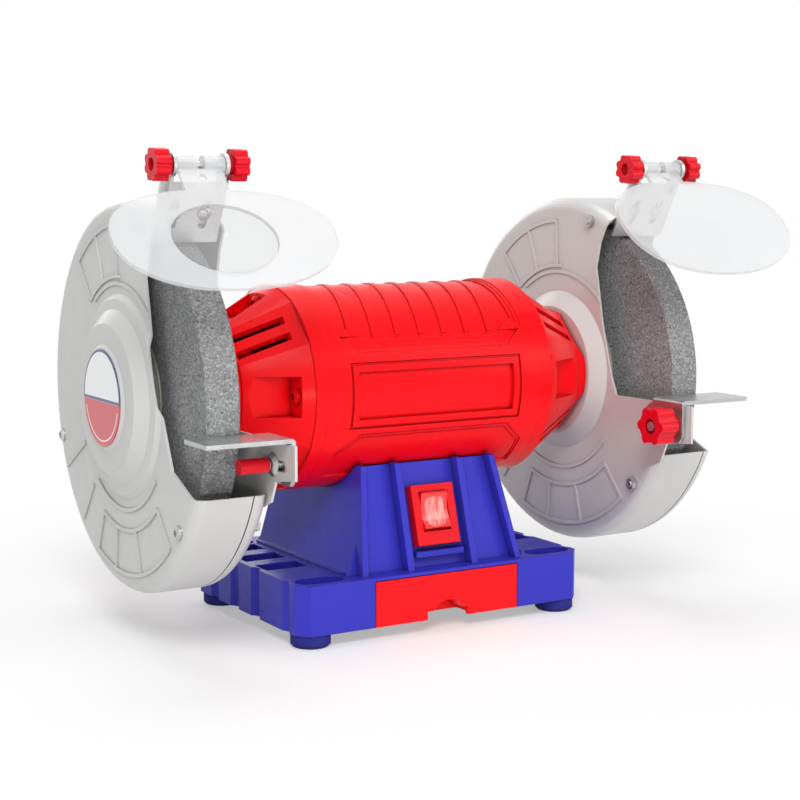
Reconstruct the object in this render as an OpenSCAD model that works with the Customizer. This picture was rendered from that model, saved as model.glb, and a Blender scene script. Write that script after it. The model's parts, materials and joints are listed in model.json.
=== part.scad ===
// Bench grinder with two wheels, eye shields, spark arresters, tool rests and a cooling tray.
// Frame: X runs along the spindle, -Y is the front, +Z is up.
// The origin is the centre of the four mounting holes, on the bench surface.

/* [Wheels] */
// Diameter of both grinding wheels
wheel_d = 200; // [190:1:204]
// Thickness of both grinding wheels
wheel_w = 20; // [16:0.5:22]
// Distance from the middle of the grinder to the middle of each wheel
wheel_x = 160.5; // [160:0.5:163]
// Diameter of the hole moulded in each wheel
wheel_bore_d = 32; // [28:1:34]
// Diameter of the clamping flanges
flange_d = 74; // [66:1:78]
// Thickness of the paper discs between the wheels and the flanges
blotter_t = 0.8; // [0.5:0.1:1]

/* [Spindle] */
// Height of the spindle above the bench
axis_h = 146; // [144:1:160]
// Diameter of the spindle where the wheels sit
arbor_d = 16; // [14:0.5:17]
// Diameter of the spindle inside the bearings
journal_d = 20; // [19:0.5:21]
// Diameter of the spindle inside the rotor
rotor_seat_d = 23; // [22:0.5:26]
// Distance from the middle to the shoulder that each inner flange seats on
shoulder_x = 140; // [138.5:0.5:141]
// Distance from the middle to each end of the spindle
spindle_end_x = 187; // [186.2:0.1:187.6]
// Distance across the flats of the spindle nuts
nut_af = 24; // [22:1:26]
// Thickness of the spindle nuts
nut_t = 8; // [6:0.5:8.5]

/* [Bearings] */
// Outside diameter of the ball bearings
bearing_d = 47; // [44:1:48]
// Width of the ball bearings
bearing_w = 14; // [12:0.5:15]
// Distance from the middle to the inner face of each bearing
bearing_x = 105; // [104:0.5:105.5]
// Diameter of the bearing balls
ball_d = 7; // [6:0.5:7.5]
// Number of balls in each bearing
ball_count = 8; // [7:1:9]
// Thickness of the wave washer behind the left bearing
washer_t = 1; // [0.6:0.1:1.2]

/* [Motor] */
// Outside diameter of the motor shell
motor_d = 126; // [124:1:130]
// Length of the motor shell
motor_l = 152; // [148:1:158]
// Wall thickness of the motor shell
motor_wall = 6; // [5:0.25:7]
// Distance from the middle to the nose face of each end bell
bell_nose_x = 127.5; // [126.5:0.25:128]
// Diameter of the nose of each end bell
bell_nose_d = 80; // [76:1:84]
// Width of the cylindrical band of each end bell
bell_band_w = 8; // [6:0.5:9]
// Width of each open pocket around a bell screw
pocket_w = 24; // [20:1:26]
// Width of each cooling slot in the end bells
slot_w = 5.5; // [4:0.5:6.5]
// Diameter of the rotor
rotor_d = 62; // [58:1:64]
// Length of the stator and rotor stacks
stack_l = 70; // [60:1:76]
// Air gap between the rotor and the stator
air_gap = 0.4; // [0.3:0.05:0.6]
// Number of winding slots in the stator
stator_slots = 24; // [18:1:24]
// Depth of the recesses moulded in the motor shell
panel_depth = 2.4; // [1.5:0.1:3]
// Half length of the front panel of the motor shell
panel_half_l = 60.5; // [56:0.5:62]
// Half length of the crown recessed in the top of the motor shell
crown_half_l = 62; // [58:0.5:64]

/* [Guards] */
// Clear space between the edge of each wheel and its guard
guard_gap = 13.5; // [12:0.25:15]
// Thickness of the guard sheet
guard_t = 1.5; // [1.2:0.1:2]
// Distance from the middle to the motor side face of each guard
guard_in_x = 135; // [134:0.25:135.5]
// Distance from the middle to the outer face of each guard
guard_out_x = 179.5; // [179:0.25:181]
// Distance from the middle to the seam of the left guard
left_seam_x = 145.5; // [144:0.5:148]
// Distance from the middle to the seam of the right guard
right_seam_x = 172; // [169:0.5:174]
// Radius of the rounded edge of each guard
guard_edge_r = 8; // [6:0.25:9]
// Height of the boss on each guard cover
cover_boss_h = 11.5; // [11.5:0.25:13]
// Height of the raised lines pressed into the guards
bead_h = 0.9; // [0.5:0.1:1.2]
// Width of the raised lines pressed into the guards
bead_w = 2.2; // [1.5:0.1:3]
// Diameter of the round label on the left guard
label_d = 56; // [50:1:57]

/* [Arresters] */
// Lean of each spark arrester, forward from upright
arrester_angle = 27.5; // [25:0.5:30]
// Width of each spark arrester plate
arrester_w = 40; // [38:1:42]
// Thickness of each spark arrester plate
arrester_t = 2; // [1.5:0.25:2.5]
// Gap between each wheel and its spark arrester
arrester_gap = 3; // [2.6:0.1:4]
// Distance from the spindle to the shield hinge
hinge_r = 150.3; // [149:0.1:153]
// Diameter of the shield hinge bolts
hinge_d = 4; // [3.5:0.25:4.5]

/* [Shields] */
// Width of each eye shield
shield_w = 131; // [120:1:134]
// Depth of the left eye shield
left_shield_l = 65; // [62:1:70]
// Depth of the right eye shield
right_shield_l = 78; // [72:1:78]
// Thickness of the eye shields
shield_t = 2.5; // [2:0.1:3]
// Distance from the hinge to the middle of each shield
shield_reach = 50.6; // [50.6:0.1:56]
// Tilt of the left shield below horizontal
left_shield_tilt = 52; // [47:1:57]
// Tilt of the right shield below horizontal
right_shield_tilt = 45.6; // [40:0.1:51]
// Sideways offset of the left shield from its hinge
left_shield_shift = -1; // [-3:0.5:6]
// Sideways offset of the right shield from its hinge
right_shield_shift = 6.5; // [4:0.5:12]
// Radius of the bow across each shield
bow_r = 600; // [500:20:900]
// Length of the magnifier in the left shield
lens_w = 62; // [56:1:66]
// Depth of the magnifier in the left shield
lens_l = 45; // [40:1:47]

/* [Knobs] */
// Diameter of the shield knobs
knob_d = 18.5; // [17:0.5:20]
// Length of the lobed head of the shield knobs
knob_l = 8.5; // [8:0.5:10]
// Diameter of the tool rest knobs
rest_knob_d = 24; // [22:0.5:27]
// Length of the lobed head of the tool rest knobs
rest_knob_l = 13; // [11:0.5:14]

/* [Tool rests] */
// Thickness of the tool rest plate
rest_t = 2.5; // [2:0.25:3]
// Length of each tool rest platform along the spindle
rest_w = 52; // [48:1:56]
// Depth of each tool rest platform
rest_l = 28; // [26:1:30]
// Drop from the spindle to the top of the left tool rest
left_rest_drop = 12; // [10:0.5:13]
// Drop from the spindle to the top of the right tool rest
right_rest_drop = 8.5; // [7:0.5:9.5]
// Distance from the spindle to the back edge of the left platform
left_rest_y = 101.5; // [101.5:0.5:104]
// Distance from the spindle to the back edge of the right platform
right_rest_y = 102.5; // [101.5:0.5:104]
// Diameter of the tool rest bolts
rest_bolt_d = 6; // [5:0.5:6.5]

/* [Base] */
// Width of the plinth across its sides
plinth_w = 202; // [198:1:208]
// Depth of the plinth from front to back
plinth_l = 147; // [144:1:152]
// Height of the deck of the plinth
plinth_top = 38; // [37:0.5:40]
// Wall thickness of the base housing
base_wall = 4; // [3:0.25:4.5]
// Height of the rubber feet
foot_h = 8; // [6:0.5:9]
// Diameter of the rubber feet
foot_d = 24; // [22:1:26]
// Distance from each mounting hole to the side of the plinth
mount_in_x = 13; // [12:0.5:15]
// Distance from each mounting hole to the front or rear of the plinth
mount_in_y = 12.5; // [11.5:0.5:13.5]
// Diameter of the mounting holes
mount_d = 8.5; // [7:0.25:9]
// Width of the pedestal just below the motor
pedestal_w = 95; // [92:1:98]
// Lean of the front and back of the pedestal
pedestal_lean = 15.8; // [14:0.2:17]
// Distance from the middle to the front of the ridges under the motor
pedestal_y = 51; // [50:0.5:52]
// Depth of the columns between the ridges of the pedestal
column_depth = 8; // [6:0.25:9]
// Width of the cooling tray
tray_w = 101; // [96:1:102]
// Depth of the cooling tray from front to back
tray_l = 96; // [80:1:110]
// Wall thickness of the cooling tray
tray_wall = 2; // [1.5:0.25:3]
// Thickness of the steel base plate and wiring cover
plate_t = 1.5; // [1:0.25:2]
// Diameter of the cord gland's thread
gland_d = 12; // [10:0.5:13]
// Width of the switch bezel
bezel_w = 30; // [28:0.5:31]
// Length of the switch bezel
bezel_l = 37; // [34:0.5:38]
// Width of the switch rocker
rocker_w = 18.6; // [17:0.2:20]
// Length of the switch rocker
rocker_l = 23.6; // [22:0.2:25]

/* [Hidden] */
$fn = 72;
e = 0.01;
fit = 0.05;
slide_gap = 0.1;
seam_gap = 0.4;
ease = 0.4;
wheel_r = wheel_d / 2;
guard_r = wheel_r + guard_gap + guard_t;
motor_r = motor_d / 2;
shell_in_r = motor_r - motor_wall;
half_l = motor_l / 2;
nose_r = bell_nose_d / 2;
band_end = half_l + bell_band_w;
journal_r = journal_d / 2;
arbor_r = arbor_d / 2;
bearing_r = bearing_d / 2;
pitch_r = (bearing_r + journal_r) / 2;

// Stack of parts along each arbor, measured from the middle of the grinder
wheel_in = wheel_x - wheel_w / 2;
wheel_out = wheel_x + wheel_w / 2;
flange_t = 6;
flange_seat = wheel_in - blotter_t;
outer_flange_in = wheel_out + blotter_t;
nut_x = outer_flange_in + flange_t;

// Motor fasteners
bell_screw_r = shell_in_r - 5.5;
bell_screw_d = 5;
boss_r = 6.5;
boss_in = half_l - 16;
pocket_floor = nose_r + 3;
pocket_in = band_end + 7;
shoulder_drop = 1;
cone_end = bell_nose_x - 6.5;
panel_low = -20.8;
panel_high = 18.7;
crown_half_w = 53;
crown_rim = 5;
cone_angle = atan2(motor_r - shoulder_drop - nose_r - 1, cone_end - band_end);
seat_end = bearing_x + bearing_w;
guard_screw_r = 32;

// Guard forms, as distances from the spindle
inner_boss = guard_in_x - bell_nose_x;
inner_boss_r = nose_r + 3;
mouth_low = -45.5;
tongue_low = -34;
tongue_end = 136;
cover_screw_r = guard_r - guard_edge_r - 2;
cover_screw_angles = [-140.8, -19.1, 108.6];
cover_screw_d = 4;
label_t = 0.5;

// Tool rest clamp
rest_bolt_l = 22;
rest_bolt_head_h = 3.2;
leg_drop = 26;
leg_l = 36;
slot_end = 4;
grip_l = 17;
grip_r = 4.2;
rest_leg_x = guard_in_x - slide_gap - rest_t;

// Arrester and shield hinge, in the plane of the arrester
arrester_low = wheel_r + arrester_gap;
arrester_top = hinge_r - knob_d / 2 - 0.5;
screw_r = guard_r + 6;
screw_dx = 9;
arrester_screw_d = 4;
lug_half = 14.5;
lug_t = 2;
lug_l = 14.5;
slot_below = 9.5;
slot_above = 8.5;
ear_x = 14.5;
hinge_front = 1;
ear_r = 6.5;
knuckle_r = 5;
neck_l = 2.2;
knob_x = ear_x + arrester_t + 0.25;
hinge_bolt_half = knob_x + neck_l + knob_l - 3.5;

// Base forms
deck_under = plinth_top - base_wall;
mount_dx = plinth_w - 2 * mount_in_x;
mount_dy = plinth_l - 2 * mount_in_y;
plate_screw_head = 7;
plate_screw_x = mount_dx / 2 - foot_d / 2 - plate_screw_head / 2 - 0.7;
lean = tan(pedestal_lean);
ridge_ref_h = 100;
flare_r = 110;
flare_top = ridge_ref_h + 4;
foot_flare = 15.5;
flank_half = 27;
flank_depth = 7;
shoulder_h = 82;
recess_depth = 12;
recess_w = 15;
well_y = [-14.5, 14.5, 43.5];
well_w = 17;
well_depth = 13;
well_in = 69;
well_wall = 2.5;
bezel_h = 69.5;
face_depth = column_depth * cos(pedestal_lean);
bezel_t = face_depth - 1;
bezel_body_w = rocker_w + 4;
bezel_body_l = rocker_l + 6;
rocker_gap = 0.4;
rocker_up = 2;
gland_h = 56;
gland_x = 36.5;
tray_gap = 0.5;
guide_y = 13.5 - plinth_l / 2;
tray_floor = foot_h + plate_t + slide_gap;
tray_top = deck_under - plate_t - 0.6;
tray_front_top = deck_under + 1.4;
notch_r = 12;
cover_hole_w = 106;
cover_hole_l = 104;
capacitor_d = 30;
capacitor_l = 55;
capacitor_y = 22;

guard_grey = [0.78, 0.78, 0.77];
paint_red = [0.86, 0.05, 0.06];
paint_blue = [0.2, 0.2, 0.62];
knob_red = [0.85, 0.06, 0.08];
steel_grey = [0.62, 0.63, 0.64];
plate_grey = [0.5, 0.51, 0.52];
abrasive_grey = [0.42, 0.43, 0.43];
clear_white = [0.9, 0.92, 0.93, 0.5];

// ---------- helpers ----------

// Lifts its children from the spindle line to its real height
module at_axis() translate([0, 0, axis_h]) children();

// Mirrors its children to the left when side is -1
module on_side(side) mirror([side < 0 ? 1 : 0, 0, 0]) children();

module both_sides() for (side = [-1, 1]) on_side(side) children();

// Turns a shape made about Z so that it lies about the spindle
module about_x() rotate([0, 90, 0]) children();

// Extrudes an outline of [y, z] along X from one place to another
module slab_x(from, to) translate([from, 0, 0]) rotate([90, 0, 90]) linear_extrude(to - from) children();

// Extrudes an outline of [x, z] along Y from one place to another
module slab_y(from, to) translate([0, to, 0]) rotate([90, 0, 0]) linear_extrude(to - from) children();

// A round bar along X
module bar_x(from, to, r) translate([from, 0, 0]) about_x() cylinder(h = to - from, r = r);

// A ring along X
module ring_x(from, to, r_out, r_in) difference() {
    bar_x(from, to, r_out);
    bar_x(from - 1, to + 1, r_in);
}

// Points of an arc about a centre, from one angle to another
function arc(c, r, from, to, steps) =
    [for (i = [0:steps]) c + r * [cos(from + (to - from) * i / steps), sin(from + (to - from) * i / steps)]];

function flip(list) = [for (i = [len(list) - 1:-1:0]) list[i]];

function shifted(list, d) = [for (p = list) [p[0], p[1] + d]];

// A slot with round ends along the outline's first axis
module slot2d(from, to, width) {
    translate([from + width / 2, -width / 2]) square([to - from - width, width]);
    for (x = [from + width / 2, to - width / 2]) translate([x, 0]) circle(d = width);
}

// An oval with slightly squared ends
function oval(w, l, power, steps) =
    [for (i = [0:steps - 1])
        let (a = 360 * i / steps, c = cos(a), s = sin(a))
        [w / 2 * sign(c) * pow(abs(c), 2 / power), l / 2 * sign(s) * pow(abs(s), 2 / power)]];

// A button head screw along +Z, its head above z = 0
module button_screw(d, length, head_d, head_h) {
    translate([0, 0, -length]) cylinder(h = length + e, d = d);
    difference() {
        intersection() {
            cylinder(h = head_h, d = head_d);
            translate([0, 0, head_h - head_d * 0.72]) sphere(d = head_d * 1.44);
        }
        translate([0, 0, head_h * 0.45]) cylinder(h = head_h, d = head_d * 0.5, $fn = 6);
    }
}

// ---------- base ----------

// The plan of the plinth, drawn in by inset
module plinth_plan(inset) {
    w = plinth_w / 2 - inset;
    l = plinth_l / 2 - inset;
    cut_x = 7 - inset * 0.4;
    cut_y = 8 - inset * 0.4;
    polygon([
        [-w + cut_x, -l], [w - cut_x, -l], [w, -l + cut_y], [w, l - cut_y],
        [w - cut_x, l], [-w + cut_x, l], [-w, l - cut_y], [-w, -l + cut_y]
    ]);
}

// The front view of the pedestal, with flared flanks, drawn in by inset
module pedestal_front_view(inset) {
    half = pedestal_w / 2 - inset;
    reach = half + foot_flare;
    difference() {
        translate([-reach, plinth_top - 1]) square([2 * reach, flare_top + 16 - plinth_top]);
        for (s = [-1, 1]) {
            translate([s * (half + flare_r), flare_top - 10]) circle(r = flare_r, $fn = 120);
            translate([s * (half + reach) - reach, flare_top - 10]) square([2 * reach, 60]);
        }
    }
}

// The distance of the ridge fronts from the middle at a height
function ridge_y(z) = pedestal_y + (ridge_ref_h - z) * lean;

// The side view of the pedestal, drawn in by inset from the ridge fronts
module pedestal_side_view(inset) {
    low = plinth_top - 1;
    high = ridge_ref_h + 16;
    polygon([
        [-ridge_y(low) + inset, low], [ridge_y(low) - inset, low],
        [ridge_y(high) - inset, high], [-ridge_y(high) + inset, high]
    ]);
}

module pedestal_solid(flank_inset, face_inset) intersection() {
    slab_y(-100, 100) pedestal_front_view(flank_inset);
    slab_x(-100, 100) pedestal_side_view(face_inset);
}

// The ridges on the front and back of the pedestal, as a front view
module ridge_view() for (s = [-1, 1]) {
    polygon([
        [s * 53, plinth_top - 1], [s * 57, plinth_top - 1],
        [s * (pedestal_w / 2 + 0.5), ridge_ref_h + 1], [s * (pedestal_w / 2 - 3.5), ridge_ref_h + 1]
    ]);
    polygon([
        [s * 20.5, plinth_top - 1], [s * 25, plinth_top - 1],
        [s * 24.5, ridge_ref_h + 1], [s * 20, ridge_ref_h + 1]
    ]);
}

// The flank between the front and rear columns, set back above a sloping shoulder, with grow added all round
module flank_recess(grow) both_sides() slab_y(-flank_half - grow, flank_half + grow) {
    half = pedestal_w / 2;
    polygon([
        [half - flank_depth - grow, flare_top + 10], [half - flank_depth - grow, shoulder_h - grow],
        [half - 0.5 - grow, shoulder_h - 9 - grow], [half + 40, shoulder_h - 9 - grow],
        [half + 40, flare_top + 10]
    ]);
}

// Open wells in the deck beside the pedestal, with grow added all round
module deck_wells(grow) for (y = well_y)
    translate([well_in - grow, y - well_w / 2 - grow, plinth_top - well_depth - grow])
        cube([
            plinth_w / 2 - base_wall - well_in + grow + e,
            well_w + 2 * grow,
            well_depth + grow + (grow > 0 ? 0 : 1)
        ]);

// The recess over each mounting hole, with grow added all round
module mount_recess(grow) translate([0, 0, plinth_top - recess_depth - grow])
    linear_extrude(recess_depth + grow + (grow > 0 ? 0 : 1))
        translate([0, mount_dy / 2])
            slot2d(mount_dx / 2 - 22 - grow, mount_dx / 2 + 9.5 + grow, recess_w + 2 * grow);

// Repeats its children at the four corners of the base
module corners() for (sx = [0, 1], sy = [0, 1]) mirror([sx, 0, 0]) mirror([0, sy, 0]) children();

// The sloping face of the pedestal at a height, with +Z pointing out of it
module on_front_face(z) translate([0, -ridge_y(z), z]) rotate([90 - pedestal_lean, 0, 0]) children();

module base_housing() color(paint_blue) difference() {
    union() {
        difference() {
            translate([0, 0, foot_h]) linear_extrude(plinth_top - foot_h) plinth_plan(0);
            translate([0, 0, foot_h - 1]) linear_extrude(deck_under - foot_h + 1) plinth_plan(base_wall);
        }
        difference() {
            pedestal_solid(0, column_depth);
            flank_recess(0);
        }
        intersection() {
            slab_y(-100, 100) ridge_view();
            slab_x(-100, 100) pedestal_side_view(0);
        }
        intersection() {
            corners() {
                mount_recess(well_wall);
                translate([mount_dx / 2, mount_dy / 2, foot_h]) cylinder(h = 20, d = 2 * mount_d + 2);
                translate([plate_screw_x, mount_dy / 2, foot_h + plate_t]) cylinder(h = 16, d = 9);
            }
            translate([0, 0, foot_h]) linear_extrude(plinth_top - foot_h) plinth_plan(0);
        }
        both_sides() deck_wells(well_wall);
        // Bead along the foot of the pedestal
        both_sides() translate([pedestal_w / 2 + foot_flare - 1.5, -pedestal_y - 5, plinth_top - 1])
            cube([4, 2 * pedestal_y + 10, 2.6]);
        // Ledge under the switch
        translate([-17, -ridge_y(47) + 1.5, 44.5]) cube([34, column_depth + 2, 3.5]);
    }
    // Room inside the pedestal, under the motor saddle
    difference() {
        pedestal_solid(base_wall, column_depth + base_wall);
        flank_recess(base_wall);
        at_axis() bar_x(-100, 100, motor_r + 5);
    }
    translate([-cover_hole_w / 2, -cover_hole_l / 2, deck_under - 2])
        cube([cover_hole_w, cover_hole_l, base_wall + 4]);
    at_axis() bar_x(-100, 100, motor_r + fit);
    translate([-100, -100, flare_top]) cube([200, 200, 60]);
    // Flutes down the sides and the wells between them
    both_sides() deck_wells(0);
    both_sides() for (y = well_y) translate([plinth_w / 2 + 4, y, foot_h - 1]) cylinder(h = 60, r = 7);
    both_sides() translate([plinth_w / 2 + 4.5, -mount_dy / 2 + 6, foot_h - 1]) cylinder(h = 60, r = 6.2);
    // Mounting holes and their recesses
    corners() {
        mount_recess(0);
        translate([mount_dx / 2, mount_dy / 2, foot_h - 1]) cylinder(h = 60, d = mount_d);
        translate([plate_screw_x, mount_dy / 2, foot_h - 1]) cylinder(h = 13, d = 3);
    }
    // Threaded holes for the wiring cover
    corners() translate([cover_hole_w / 2 + 4, cover_hole_l / 2 - 4, deck_under - 1])
        cylinder(h = 4, d = 2.6);
    // Mouth of the tray
    translate([-tray_w / 2 - tray_gap, -plinth_l / 2 - 1, foot_h - 1])
        cube([tray_w + 2 * tray_gap, base_wall + 2, tray_front_top + tray_gap - foot_h + 1]);
    // Opening for the switch
    on_front_face(bezel_h) translate([-bezel_body_w / 2 - 0.2, -bezel_body_l / 2 - 0.2, -30])
        cube([bezel_body_w + 0.4, bezel_body_l + 0.4, 40]);
    // Hole for the cord gland
    rotate([0, 0, 180]) on_front_face(gland_h) translate([-gland_x, 0, -30])
        cylinder(h = 40, d = gland_d + 2 * fit);
    // Holes for the motor screws
    at_axis() motor_screw_places() translate([0, 0, -motor_r - 12]) cylinder(h = 20, d = 5.4);
}

module base_plate() color(plate_grey) difference() {
    union() {
        translate([0, 0, foot_h]) linear_extrude(plate_t) plinth_plan(base_wall + ease);
        // Guides beside the tray
        for (s = [-1, 1]) translate([s * (tray_w / 2 + 1.3) - plate_t / 2, guide_y, foot_h + plate_t - e])
            cube([plate_t, tray_l + 4, 8]);
    }
    corners() {
        translate([mount_dx / 2, mount_dy / 2, foot_h - 1]) cylinder(h = 4, d = 2 * mount_d + 2 + 2 * ease);
        translate([plate_screw_x, mount_dy / 2, foot_h - 1]) cylinder(h = 4, d = 3.8);
    }
    translate([0, -plinth_l / 2, foot_h - 1]) cylinder(h = 4, r = notch_r + 12);
}

module base_plate_screws() color(steel_grey) corners()
    translate([plate_screw_x, mount_dy / 2, foot_h]) rotate([180, 0, 0])
        button_screw(2.9, 10, plate_screw_head, 2.2);

module wiring_cover() color(plate_grey) difference() {
    translate([-cover_hole_w / 2 - 8, -cover_hole_l / 2 - 4, deck_under - plate_t])
        cube([cover_hole_w + 16, cover_hole_l + 8, plate_t]);
    corners() translate([cover_hole_w / 2 + 4, cover_hole_l / 2 - 4, deck_under - plate_t - 1])
        cylinder(h = 5, d = 3);
}

module wiring_cover_screws() color(steel_grey) corners()
    translate([cover_hole_w / 2 + 4, cover_hole_l / 2 - 4, deck_under - plate_t])
        rotate([180, 0, 0]) button_screw(2.5, 4, 5.5, 1.8);

module feet() color([0.1, 0.1, 0.3]) corners() translate([mount_dx / 2, mount_dy / 2, 0]) difference() {
    union() {
        cylinder(h = 1.5, d1 = foot_d - 3, d2 = foot_d);
        translate([0, 0, 1.5]) cylinder(h = foot_h - 1.5, d = foot_d);
    }
    translate([0, 0, -1]) cylinder(h = foot_h + 2, d = mount_d);
}

module tray() color(paint_red) {
    box_w = tray_w - 3;
    depth_y = -plinth_l / 2;
    wall_top = tray_top;
    difference() {
        union() {
            translate([-tray_w / 2, depth_y, foot_h]) cube([tray_w, 3, tray_front_top - foot_h]);
            translate([-box_w / 2, depth_y + 1, tray_floor]) cube([box_w, tray_l - 1, wall_top - tray_floor]);
        }
        difference() {
            translate([-box_w / 2 + tray_wall, depth_y + 3, tray_floor + tray_wall])
                cube([box_w - 2 * tray_wall, tray_l - 3 - tray_wall, 40]);
            // Hood over the finger notch
            translate([0, depth_y - 1, foot_h - 1]) rotate([-90, 0, 0])
                cylinder(h = 16, r = notch_r + tray_wall);
        }
        translate([0, depth_y - 1, foot_h - 1]) rotate([-90, 0, 0]) cylinder(h = 14, r = notch_r);
        translate([-notch_r - 2.5, depth_y - 1, foot_h - 1]) cube([2 * notch_r + 5, 14, 6]);
    }
}

// ---------- electrics ----------

module switch_bezel() color(paint_red) on_front_face(bezel_h) difference() {
    union() {
        translate([-bezel_w / 2, -bezel_l / 2, -face_depth + fit]) cube([bezel_w, bezel_l, bezel_t]);
        translate([-bezel_body_w / 2, -bezel_body_l / 2, -face_depth - 22])
            cube([bezel_body_w, bezel_body_l, 23]);
    }
    translate([0, rocker_up, bezel_t - face_depth - 11])
        translate([-rocker_w / 2 - rocker_gap, -rocker_l / 2 - rocker_gap, 0])
            cube([rocker_w + 2 * rocker_gap, rocker_l + 2 * rocker_gap, 20]);
}

module switch_rocker() color([0.95, 0.2, 0.18]) on_front_face(bezel_h)
    translate([0, rocker_up, bezel_t - face_depth - 3]) slab_x(-rocker_w / 2, rocker_w / 2) difference() {
        half = rocker_l / 2;
        polygon(concat(
            [[-half, 0.6], [-half + 0.8, 2.4]],
            arc([0, 22.7], 20.4, 239, 301, 8),
            [[half - 0.8, 6.2], [half, 4.8], [4, -5], [-4, -5]]
        ));
        circle(r = 1.5 + fit);
    }

module cord_gland() color([0.08, 0.08, 0.09]) rotate([0, 0, 180]) on_front_face(gland_h)
    translate([-gland_x, 0, -face_depth]) difference() {
        union() {
            translate([0, 0, -base_wall - 8]) cylinder(h = base_wall + 9, d = gland_d);
            translate([0, 0, fit]) cylinder(h = 5, d = gland_d + 6, $fn = 6);
            translate([0, 0, 5]) cylinder(h = 9, d1 = gland_d + 3, d2 = gland_d - 1);
            translate([0, 0, -base_wall - 5]) cylinder(h = 4.8, d = gland_d + 6, $fn = 6);
        }
        translate([0, 0, -40]) cylinder(h = 80, d = gland_d - 5);
    }

module terminal_block() color([0.92, 0.92, 0.88]) translate([-20, -34, deck_under]) difference() {
    union() {
        cube([40, 16, 5]);
        for (i = [0:3]) translate([1 + 10 * i, 2, 4]) cube([8, 12, 8]);
    }
    for (i = [0:3], y = [5, 11]) translate([5 + 10 * i, y, 6]) cylinder(h = 8, d = 3.4);
}

module capacitor() color([0.75, 0.75, 0.74])
    translate([-capacitor_l / 2, capacitor_y, deck_under + plate_t + capacitor_d / 2 + fit]) {
        bar_x(0, capacitor_l, capacitor_d / 2);
        for (y = [-5, 5]) translate([capacitor_l - 1, y, 0]) cube([8, 6.3, 0.8], center = true);
    }

module capacitor_clip() color(steel_grey)
    translate([-6, capacitor_y, deck_under + plate_t + capacitor_d / 2 + fit]) slab_x(0, 12) difference() {
        union() {
            circle(r = capacitor_d / 2 + plate_t + fit);
            translate([-capacitor_d / 2 - 12, -capacitor_d / 2 - plate_t - fit])
                square([capacitor_d + 24, plate_t]);
        }
        circle(r = capacitor_d / 2 + fit);
    }

// ---------- motor ----------

// The four places of the screws that hold the motor on its saddle
module motor_screw_places() for (sx = [-1, 1], a = [-18, 18])
    translate([32 * sx, 0, 0]) rotate([a, 0, 0]) children();

// Repeats its children at the four bell screws, with +Z pointing outward
module quarters() for (a = [0:90:270]) rotate([a, 0, 0]) children();

// A ring sector of the shell between two depths, seen along Z or Y through its children
module shell_skin(depth) ring_x(-half_l, half_l, motor_r + 5, motor_r - depth);

// The outline of the crown and the apron, in plan, drawn in by inset
module crown_plan(inset) {
    l = crown_half_l - inset;
    w = crown_half_w - inset;
    polygon([
        [-l + 14, -w], [l - 14, -w], [l, -w + 6], [l, w - 6],
        [l - 14, w], [-l + 14, w], [-l, w - 6], [-l, -w + 6]
    ]);
}

// A shallow step of the shell inside the crown's outline
module crown_step(depth, inset) intersection() {
    shell_skin(depth);
    linear_extrude(80) crown_plan(inset);
}

// The slope between the crown's outer and inner outline, along the front
module crown_slope() {
    outer = acos((crown_half_w + crown_rim) / motor_r);
    inner = acos(crown_half_w / motor_r);
    intersection() {
        linear_extrude(80) crown_plan(-crown_rim);
        slab_x(-half_l, half_l) polygon(concat(
            [motor_r * [-cos(outer), sin(outer)], (motor_r - panel_depth * 0.6) * [-cos(inner), sin(inner)]],
            [for (a = [inner, outer]) 1.2 * motor_r * [-cos(a), sin(a)]]
        ));
    }
}

// A frame of the front panel as a front view, drawn in by inset
module panel_view(inset) translate([-panel_half_l + inset, panel_low + inset])
    square([2 * (panel_half_l - inset), panel_high - panel_low - 2 * inset]);

// The part of the shell's skin that the front panel covers, to a depth
module panel_cut(depth) intersection() {
    shell_skin(depth);
    slab_y(-80, 0) children();
}

module motor_shell() color(paint_red) at_axis() difference() {
    union() {
        ring_x(-half_l, half_l, motor_r, shell_in_r);
        both_sides() quarters() intersection() {
            translate([0, 0, bell_screw_r]) bar_x(boss_in, half_l, boss_r);
            bar_x(boss_in, half_l, motor_r - 1);
        }
    }
    both_sides() quarters() translate([0, 0, bell_screw_r]) bar_x(boss_in + 4, half_l + 1, bell_screw_d / 2);
    // Front panel inside a fine groove
    panel_cut(panel_depth * 0.45) difference() {
        panel_view(0);
        panel_view(1.6);
    }
    panel_cut(panel_depth) panel_view(5.5);
    // Crown with slanted bars left standing
    for (m = [0, 1]) mirror([0, m, 0]) crown_slope();
    crown_step(panel_depth * 0.2, -crown_rim);
    crown_step(panel_depth * 0.4, -crown_rim / 2);
    difference() {
        crown_step(panel_depth * 0.75, 0);
        intersection() {
            linear_extrude(80) crown_plan(e);
            for (i = [-3:3]) translate([16.4 * i + 4, 0, 0]) rotate([0, 0, -11.5]) translate([-1.6, -70, 0])
                cube([3.2, 140, 80]);
        }
    }
    // Apron below the front and rear of the shell
    for (m = [0, 1], step = [1, 2]) mirror([0, m, 0]) intersection() {
        shell_skin(panel_depth * 0.25 * step);
        slab_y(-80, -36) translate([-80, -80]) square([160, 80]);
        translate([0, 0, -80]) linear_extrude(80) crown_plan(1.5 * step - crown_rim - 1.5);
    }
    motor_screw_places() translate([0, 0, -motor_r - 1]) cylinder(h = motor_wall + 2, d = 4.2);
}

module motor_screws() color(steel_grey) at_axis() motor_screw_places()
    translate([0, 0, -motor_r - 5 - 0.1]) rotate([180, 0, 0]) button_screw(4, 9.5, 8.5, 3);

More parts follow.
